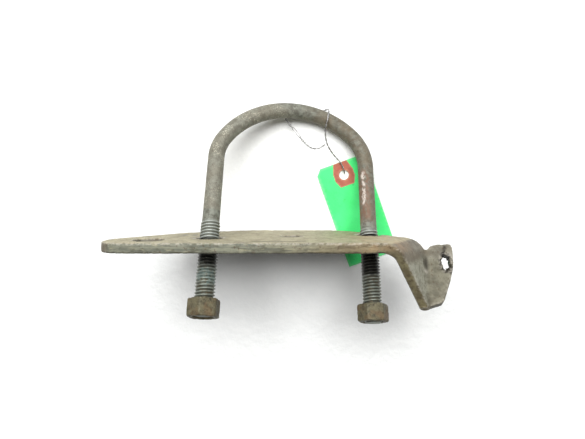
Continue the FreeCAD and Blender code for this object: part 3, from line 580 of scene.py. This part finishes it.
def build_plate():
    v, nr, e, f = dense_copy("spring_plate", "plate", 0.55, 6)
    cvx = convexity(v, nr, e, 6, 0.30)
    p = v - SHIFT
    big = fbm(v, 14.0, 3, 4.0)
    mid = fbm(v, 3.2, 4, 5.0)
    convex = np.clip(cvx, 0, 1)
    move = 0.05 * big - 0.06 * np.clip(mid, -0.6, 1) - (0.55 - 0.42 * smooth(-p[:, 1], 0.0, 5.0)) * convex * np.clip(mid + 0.05, 0, 1)
    # shallow groove along the upper edge of the wide face
    front0 = smooth(nr[:, 1], 0.5, 0.8) * smooth(p[:, 1], 1.5, 2.3)
    top0 = smooth(nr[:, 2], 0.5, 0.8) * smooth(p[:, 2], 77.5, 79.5)
    g = front0 * band(p[:, 0], -24, 7, 3) * np.exp(-((p[:, 2] - 74.0 - 0.04 * p[:, 0]) / 1.5) ** 2)
    move -= 0.55 * g
    # hammered dents on the upper edge and the lower lip
    lip = smooth(p[:, 2], 74, 79.5) * convex * smooth(-p[:, 1], 0.5, 2.5)
    move -= 0.9 * lip * np.clip(fbm(v, 2.0, 3, 9.0), 0, 1)
    # the fold line, the tab and the ear
    near, far = np.array([44.8, 0, 80.5]), np.array([64.0, 0, 49.5])
    width = np.linalg.norm(far - near)
    bv = (far - near) / width
    ov = np.array([-bv[2], 0, bv[0]])
    al75 = math.radians(75)
    rad_v = np.array([0, 1, 0]) * math.cos(al75) + ov * math.sin(al75)
    base = near + np.array([0, -8.3, 0]) + bv * (bv[0] / ov[0] * 8.3 * al75)
    tab_a = base + rad_v * 8.3
    tab_b = tab_a + bv * width
    tab_out = ov * math.cos(al75) + np.array([0, -1, 0]) * math.sin(al75)
    ed = tab_out * ov[0] + bv * bv[0]
    ed /= np.linalg.norm(ed)
    tab_c = tab_a + ed * 35.0
    crease = (tab_c - tab_b) / np.linalg.norm(tab_c - tab_b)
    crease_len = np.linalg.norm(tab_c - tab_b)
    away = np.cross(rad_v, crease)
    if away[0] < 0:
        away = -away
    e60 = math.radians(60)
    ear_out = away * math.cos(e60) + rad_v * math.sin(e60)
    ear_n = rad_v * math.cos(e60) - away * math.sin(e60)
    q = p - tab_b
    qa, qw, qn = q @ crease, q @ ear_out, q @ ear_n
    on_ear = smooth(qw, 1.5, 4.0) * (1 - smooth(np.abs(qn), 3.6, 4.4))
    # torn hole: ragged rim that closes in, dark all round, with a split to the edge
    ha, hw = qa - 7.2, qw - 13.1
    run_a = np.clip(ha, -2.9, 2.9)
    d_hole = np.hypot(ha - run_a, hw)
    in_wall = 1 - smooth(np.abs(nr @ ear_n), 0.35, 0.75)
    inward = -(np.outer(ha - run_a, crease) + np.outer(hw, ear_out)) / np.maximum(d_hole, 0.3)[:, None]
    in_wall = in_wall * smooth((nr * inward).sum(1), 0.1, 0.5)
    rag = fbm(v, 2.2, 3, 12.0)
    close_in = on_ear * in_wall * (1 - smooth(d_hole, 3.2, 3.9)) * (0.55 + 1.1 * np.clip(rag + 0.15, -0.2, 1))
    low_end = smooth(ha, 1.0, 4.5)
    move = move + close_in * (1 + 1.2 * low_end)
    split = on_ear * np.exp(-((hw + 0.8 + 0.18 * (ha + 6) + 0.5 * rag) / 0.55) ** 2) * (1 - smooth(ha, -4.0, -2.5))
    move = move - 0.7 * split * smooth(np.abs(nr @ ear_n), 0.6, 0.9)
    v = v + nr * move[:, None]
    # the crease runs out into one soft surface towards the tip
    d_crease = np.linalg.norm(q - np.outer(qa, crease), axis=1)
    soft = (1 - smooth(d_crease, 5.5, 10.0)) * smooth(qa, crease_len * 0.30, crease_len * 0.55)
    soft = soft * (1 - smooth(qa, crease_len - 8.0, crease_len - 3.0))
    v = v + (average(v, e, 45) - v) * soft[:, None]
    flat_side = smooth(-p[:, 1], -1.5, 4.0) * smooth(p[:, 0], 42, 47) * (1 - on_ear) * 0.85
    v = v + (average(v, e, 8) - v) * flat_side[:, None]
    v[:, 2] = np.maximum(v[:, 2], 0.0)
    v[:, 2] = np.minimum(v[:, 2], 81.2)
    o = new_mesh("plate_forged", v, f)
    # the cut edge of the fold and the tab
    tab_edge_n = np.cross(ed, rad_v)
    if tab_edge_n @ bv > 0:
        tab_edge_n = -tab_edge_n
    side_n = np.maximum(nr @ -bv, nr @ tab_edge_n)
    bent = smooth(-p[:, 1], -1.5, 5.0) * smooth(p[:, 0], 42, 47)
    strip = smooth(side_n, 0.72, 0.90) * bent * (1 - on_ear)
    attr(o, "strip", strip)
    # painted shade mask along the upper part of the crease between the tab and the ear
    valley_painted_shade = smooth(qw, -0.8, 0.6) * (1 - smooth(qw, 2.2, 4.2)) * (1 - smooth(qa, crease_len * 0.28, crease_len * 0.42))
    valley_painted_shade = valley_painted_shade * smooth(-p[:, 1], 6.0, 11.0) * smooth(nr @ (ear_n + rad_v), 0.2, 0.8)
    # painted highlight spot in the crease, just past its painted shade
    painted_highlight_spot = np.exp(-((qa - crease_len * 0.40) / 1.3) ** 2 - ((qw - 1.0) / 1.2) ** 2) * smooth(nr @ (ear_n + rad_v), 0.2, 0.8)
    attr(o, "valley_painted_shade", valley_painted_shade)
    attr(o, "lobe", smooth(qw, -0.5, 2.5) * smooth(-p[:, 1], 6.0, 11.0))
    ring = on_ear * (1 - smooth(d_hole + 1.0 * rag, 3.3, 4.3)) * 0.95
    torn = np.clip(ring + 1.2 * split, 0, 1)
    lipzone = smooth(p[:, 2], 74, 78.5) * smooth(-p[:, 1], 0.8, 2.4) * (1 - smooth(-p[:, 1], 3.6, 5.0))
    attr(o, "edge", np.clip(convex * 1.2, 0, 1) * (1 - 0.9 * lipzone))
    attr(o, "front", front0)
    attr(o, "top", top0 * (1 - bent) * (1 - smooth(p[:, 0], 50, 58)))
    attr(o, "right", smooth(p[:, 0] + 14 * big, -30, 35))
    ear = smooth(-p[:, 1], 6.0, 11.0)
    attr(o, "ear", ear)
    bend = (1 - smooth(-p[:, 1], -1.0, 6.0)) * band(p[:, 0], 36, 62, 7) * (1 - strip)
    rust = bend * 1.0 + 0.35 * band(p[:, 0], 20, 44, 7) * top0 + 0.2 * np.clip(big, 0, 1)
    attr(o, "rust", rust)
    # oil and dirt round the leg holes and on the lip, and painted shade in the crease
    d_l = np.hypot(p[:, 0] + 47.1, p[:, 2] - 54.2)
    d_r = np.hypot(p[:, 0] - 46.7, p[:, 2] - 34.3)
    flatm = smooth(p[:, 1], -3.6, -2.9)
    oil_and_painted_shade = (1 - smooth(d_l, 8.6, 13.0)) * 0.35 + (1 - smooth(d_r, 9.8, 14.0)) * 0.3
    marks = np.exp(-((p[:, 0] + 64.5) / 1.7) ** 2 - ((p[:, 2] - 38) / 5.0) ** 2)
    marks += np.exp(-((p[:, 0] + 58.5) / 1.5) ** 2 - ((p[:, 2] - 39) / 4.5) ** 2)
    concave = np.clip(-cvx * 1.4 - 0.1, 0, 1)
    attr(o, "oil_and_painted_shade", np.clip(oil_and_painted_shade * flatm + marks * front0 * 0.9 + lipzone * convex * np.clip(0.75 + 1.2 * mid, 0.25, 1) + 0.35 * g
                           + 0.6 * band(p[:, 0] + 3 * mid, -38, -20, 3) * np.exp(-((p[:, 2] - 76.6) / 1.7) ** 2) * front0
                           + 0.5 * band(p[:, 0] + 3 * mid, -22, 9, 2) * np.exp(-((p[:, 2] - 71.8) / 0.7) ** 2) * front0
                           # painted shade: concave parts of the ear darkened as the crease's shade
                           + concave * ear * 1.0 * (1 - soft) + torn
                           + 0.7 * strip * convex * np.clip(mid + 0.5, 0, 1), 0, 0.97))
    # painted highlight rings round the leg holes on the wide face
    rim = (np.exp(-((d_r - 8.4) / 0.6) ** 2) + 0.4 * np.exp(-((d_l - 8.3) / 0.5) ** 2)) * front0
    attr(o, "painted_highlight", np.clip(rim + 0.55 * painted_highlight_spot, 0, 1))
    o.data.materials.append(plate_material())
    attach(o, "plate_body")
    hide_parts("spring_plate")
    return o


def build_nut(node, name, seed):
    v, nr, e, f = dense_copy(node, name, 0.36, 16, 0.5)
    cvx = convexity(v, nr, e, 6, 0.16)
    convex = np.clip(cvx, 0, 1)
    big = fbm(v, 6.0, 3, seed)
    mid = fbm(v, 1.9, 4, seed + 3)
    move = 0.10 * big - 0.10 * np.clip(mid, -0.5, 1) - 0.35 * convex * np.clip(mid + 0.2, 0, 1)
    v = v + nr * move[:, None]
    o = new_mesh(name, v, f)
    attr(o, "edge", convex)
    o.data.materials.append(NUT)
    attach(o, node + "_body")
    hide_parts(node)
    return o


# -------------------------------------------------------------------- the tag
TURN = math.radians(19.8)
CARD_L, CARD_W, RISE, LOW = 70.0, 34.9, 0.62, 0.03
slope = math.asin((RISE - LOW) / CARD_L)
cex = np.array([math.cos(TURN), math.sin(TURN), 0])
cey = np.array([-math.sin(TURN) * math.cos(slope), math.cos(TURN) * math.cos(slope), math.sin(slope)])
cez = np.cross(cex, cey)
CARD_O = np.array([32.0, 49.0, RISE]) + SHIFT
EYE_Y, EYE_R = -9.0, 3.3


def sheet_piece(name, outline, z0, z1, step, curl, mat, node):
    """A thin card cut to outline (card frame, mm) with the eyelet hole, its skin dense enough to wave."""
    bm = bmesh.new()
    outl = []
    m = len(outline)
    for k in range(m):
        a, b = np.array(outline[k]), np.array(outline[(k + 1) % m])
        q = max(1, int(np.linalg.norm(b - a) / step))
        outl += [a + (b - a) * t / q for t in range(q)]
    hole = [np.array([EYE_R * math.cos(t), EYE_Y + EYE_R * math.sin(t)])
            for t in np.linspace(0, 2 * math.pi, 40, endpoint=False)]
    xs = np.arange(min(p[0] for p in outl), max(p[0] for p in outl), step)
    ys = np.arange(min(p[1] for p in outl), max(p[1] for p in outl), step)
    from mathutils.geometry import delaunay_2d_cdt
    pts = [Vector(p) for p in outl] + [Vector(p) for p in hole]
    edges = [(i, (i + 1) % len(outl)) for i in range(len(outl))]
    edges += [(len(outl) + i, len(outl) + (i + 1) % len(hole)) for i in range(len(hole))]
    poly = np.array(outl)

    def inside(x, y, margin):
        if math.hypot(x, y - EYE_Y) < EYE_R + margin:
            return False
        c = False
        best = 1e9
        for i in range(len(poly)):
            x1, y1 = poly[i]; x2, y2 = poly[i - 1]
            best = min(best, math.hypot(x - x1, y - y1))
            if (y1 > y) != (y2 > y) and x < (x2 - x1) * (y - y1) / (y2 - y1) + x1:
                c = not c
        return c and best > margin

    for k, x in enumerate(xs):
        for j, y in enumerate(ys):
            xx = x + (0.37 if j % 2 else 0.0) * step
            if inside(xx, y, step * 0.55):
                pts.append(Vector((xx, y)))
    vs, es, fs, _, _, _ = delaunay_2d_cdt(pts, edges, [], 1, 1e-5)
    keep = []
    for t in fs:
        c = sum((np.array(vs[i][:]) for i in t), np.zeros(2)) / len(t)
        if math.hypot(c[0], c[1] - EYE_Y) > EYE_R * 0.999:
            keep.append(tuple(t))
    used = sorted({i for t in keep for i in t})
    remap = {u: k for k, u in enumerate(used)}
    flat = np.array([vs[u][:] for u in used])
    tris = [tuple(remap[i] for i in t) for t in keep]
    # boundary edges
    cnt = {}
    for t in tris:
        for i in range(len(t)):
            a, b = t[i], t[(i + 1) % len(t)]
            cnt.setdefault((min(a, b), max(a, b)), []).append((a, b))
    wavy = curl(flat)
    nn = len(flat)
    top = CARD_O + np.outer(flat[:, 0], cex) + np.outer(flat[:, 1], cey) + np.outer(wavy + z1, cez)
    bot = CARD_O + np.outer(flat[:, 0], cex) + np.outer(flat[:, 1], cey) + np.outer(wavy + z0, cez)
    bm.free()
    verts = np.vstack([top, bot])
    faces = [t for t in tris] + [tuple(i + nn for i in t[::-1]) for t in tris]
    rim = np.zeros(nn)
    for k, es_ in cnt.items():
        if len(es_) == 1:
            a, b = es_[0]
            faces.append((b, a, a + nn, b + nn))
            rim[a] = rim[b] = 1
    o = new_mesh(name, verts, faces, smooth=False)
    attr(o, "rim", np.concatenate([rim, rim]))
    o.data.materials.append(mat)
    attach(o, "tag_body")
    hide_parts(node)
    return o


def card_curl(q):
    """A very slight wave of the card, flat at the plate's edge and up a little at the corners."""
    x, y = q[:, 0], q[:, 1]
    w = 0.16 * np.clip(np.abs(x) / 17.5, 0, 1) ** 3 * smooth(-y, 30, 6)
    return w + 0.03 * np.sin(x * 0.5 + y * 0.21) * smooth(-y, 60, 50)


def build_tag():
    hw, ll = CARD_W / 2, CARD_L
    out = [(hw - 3.4, 0), (hw, -4.1), (hw, -ll), (-hw, -ll), (-hw, -4.1), (-hw + 3.4, 0)]
    card = sheet_piece("tag_card_green", out, 0.0, 0.35, 1.7, card_curl, card_material(), "tag_card")
    ws, wd, lg = 4.8, 7.1, 16.6
    pm = patch_material()
    # the patch's waist and shoulders, its long sides drawn in a little
    po = [(ws, -0.05), (wd - 0.6, -5.2), (wd, -7.0), (wd - 0.15, -9.0), (wd, -11.0), (wd - 0.5, -12.6), (ws, -lg)]
    po = po + [(-x, y) for x, y in po[::-1]]
    po = po[::-1]
    fr = sheet_piece("tag_patch_upper", po, 0.35, 0.53, 1.0, card_curl, pm, "tag_patch_front")
    bk = sheet_piece("tag_patch_lower", po, -0.18, 0.0, 1.0, card_curl, pm, "tag_patch_back")
    return card, fr, bk


# ------------------------------------------------------------------- the wire
WIRE = [
    (35.4, 41.3, 0.80),
    (34.7, 44.4, 2.75),
    (32.2, 49.5, 2.40),
    (28.6, 52.8, 2.80),
    (25.6, 56.3, 4.40),
    (22.9, 60.6, 6.60),
    (21.6, 65.8, 8.60),
    (21.5, 71.0, 10.40),
    (22.6, 75.0, 11.70),
    (23.5, 79.0, 11.20),
    (24.1, 82.1, 8.90),
    (24.2, 83.6, 5.60),
    (22.6, 83.9, 2.60),
    (18.9, 83.2, 0.78),
    (13.9, 84.2, 0.68),
    (9.0, 84.7, 0.70),
    (4.3, 84.3, 0.66),
    (-0.5, 83.4, 0.85),
    (-4.3, 81.2, 1.50),
    (-4.7, 77.8, 2.60),
    (-2.5, 74.3, 3.60),
    (1.4, 70.4, 4.50),
    (6.2, 63.7, 5.40),
    (11.2, 58.4, 6.20),
    (16.0, 57.2, 6.50),
    (19.6, 58.6, 6.50),
    (21.7, 60.4, 7.20),
]


def build_wire():
    cu = bpy.data.curves.new("wire_route", "CURVE")
    cu.dimensions = "3D"
    cu.resolution_u = 16
    sp = cu.splines.new("NURBS")
    sp.points.add(len(WIRE) - 1)
    for q, w in zip(sp.points, WIRE):
        x = (np.array(w) + SHIFT) * MM
        q.co = (x[0], x[1], x[2], 1.0)
    sp.order_u = 3
    sp.use_endpoint_u = True
    route = bpy.data.objects.new("wire_route", cu)
    bpy.context.scene.collection.objects.link(route)
    bpy.context.view_layer.update()
    dg = bpy.context.evaluated_depsgraph_get()
    me = bpy.data.meshes.new_from_object(route.evaluated_get(dg))
    line = np.array([v.co[:] for v in me.vertices])
    bpy.data.objects.remove(route)
    bpy.data.meshes.remove(me)
    keep = [0] + [i for i in range(1, len(line)) if np.linalg.norm(line[i] - line[i - 1]) > 1e-7]
    line = line[keep]
    s = np.concatenate([[0], np.cumsum(np.linalg.norm(np.diff(line, axis=0), axis=1))])
    total = s[-1]
    tan = np.gradient(line, axis=0)
    tan /= np.linalg.norm(tan, axis=1)[:, None]
    # a frame carried along the line
    u = np.zeros_like(tan)
    ref = np.array([0.0, 0.0, 1.0])
    for i in range(len(tan)):
        ref = ref - tan[i] * ref.dot(tan[i])
        ref /= np.linalg.norm(ref)
        u[i] = ref
    w = np.cross(tan, u)
    verts, faces = [], []
    seg, r = 8, 0.00026
    # two strands: laid close round each other, looser where they go round the rod
    sm = s * 1000
    for k in (0, 1):
        turn = 2 * math.pi * sm / 6.5 + math.pi * k
        loose = np.exp(-((sm - 0.80 * sm[-1]) / 8.5) ** 2)
        gap = (0.00026 + 0.00042 * loose)[:, None]
        lay = np.pi * k + 0.4
        turn = 2 * math.pi * (sm - 0.8 * sm[-1]) / 6.5
        turn = turn * (1 - loose) + lay
        cen = line + u * np.cos(turn)[:, None] * gap + w * np.sin(turn)[:, None] * gap
        t = np.gradient(cen, axis=0); t /= np.linalg.norm(t, axis=1)[:, None]
        a = u - t * (u * t).sum(1)[:, None]; a /= np.linalg.norm(a, axis=1)[:, None]
        b = np.cross(t, a)
        base = len(verts)
        for i in range(len(cen)):
            for j in range(seg):
                th = 2 * math.pi * j / seg
                verts.append((cen[i] + (a[i] * math.cos(th) + b[i] * math.sin(th)) * r) * 1000)
        for i in range(len(cen) - 1):
            for j in range(seg):
                o0 = base + i * seg
                faces.append((o0 + j, o0 + (j + 1) % seg, o0 + seg + (j + 1) % seg, o0 + seg + j))
        faces.append(tuple(base + j for j in range(seg))[::-1])
        faces.append(tuple(base + (len(cen) - 1) * seg + j for j in range(seg)))
    o = new_mesh("tag_wire_twisted", verts, faces)
    o.data.materials.append(wire_material())
    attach(o, "bolt_body")
    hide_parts("tag_wire")
    return o, line, total


# --------------------------------------------------------------------- camera
cam_d = bpy.data.cameras.new("cam")
cam_d.sensor_width = 36
cam_d.lens = 27.08
cam_d.clip_start = 0.005
cam = bpy.data.objects.new("cam", cam_d)
cam.location = ((0 + SHIFT[0]) * MM, (27.5 + SHIFT[1]) * MM, 301.7 * MM)
cam.rotation_euler = (math.radians(-3.32), 0, 0)
bpy.context.scene.collection.objects.link(cam)
bpy.context.scene.camera = cam

wire, wire_line, wire_len = build_wire()
card, patch_up, patch_low = build_tag()
build_bolt()
build_plate()
NUT = nut_material()
build_nut("nut_left", "nut_left_worn", 2.0)
build_nut("nut_right", "nut_right_worn", 7.0)

# ---------------------------------------------------------- floor and lights
floor = new_mesh("floor", [(-1500, -1500, -0.25), (1500, -1500, -0.25), (1500, 1500, -0.25), (-1500, 1500, -0.25)],
                 [(0, 1, 2, 3)], smooth=False)
floor.data.materials.append(floor_material())

world = bpy.data.worlds.new("studio")
bpy.context.scene.world = world
world.use_nodes = True
bg = world.node_tree.nodes["Background"]
bg.inputs[0].default_value = (1.0, 1.0, 1.0, 1)
bg.inputs[1].default_value = 0.14


def area(name, loc, target, size, power, colour=(1, 1, 1)):
    d = bpy.data.lights.new(name, "AREA")
    d.shape = "RECTANGLE"
    d.size, d.size_y = size
    d.energy = power
    d.color = colour
    o = bpy.data.objects.new(name, d)
    o.location = loc
    o.rotation_euler = (Vector(target) - Vector(loc)).to_track_quat("-Z", "Y").to_euler()
    bpy.context.scene.collection.objects.link(o)


area("key", (-0.06, 0.50, 0.95), (0, 0.0, 0), (1.1, 0.8), 22.0)

bpy.context.scene.view_settings.view_transform = "Standard"
bpy.context.scene.view_settings.look = "None"
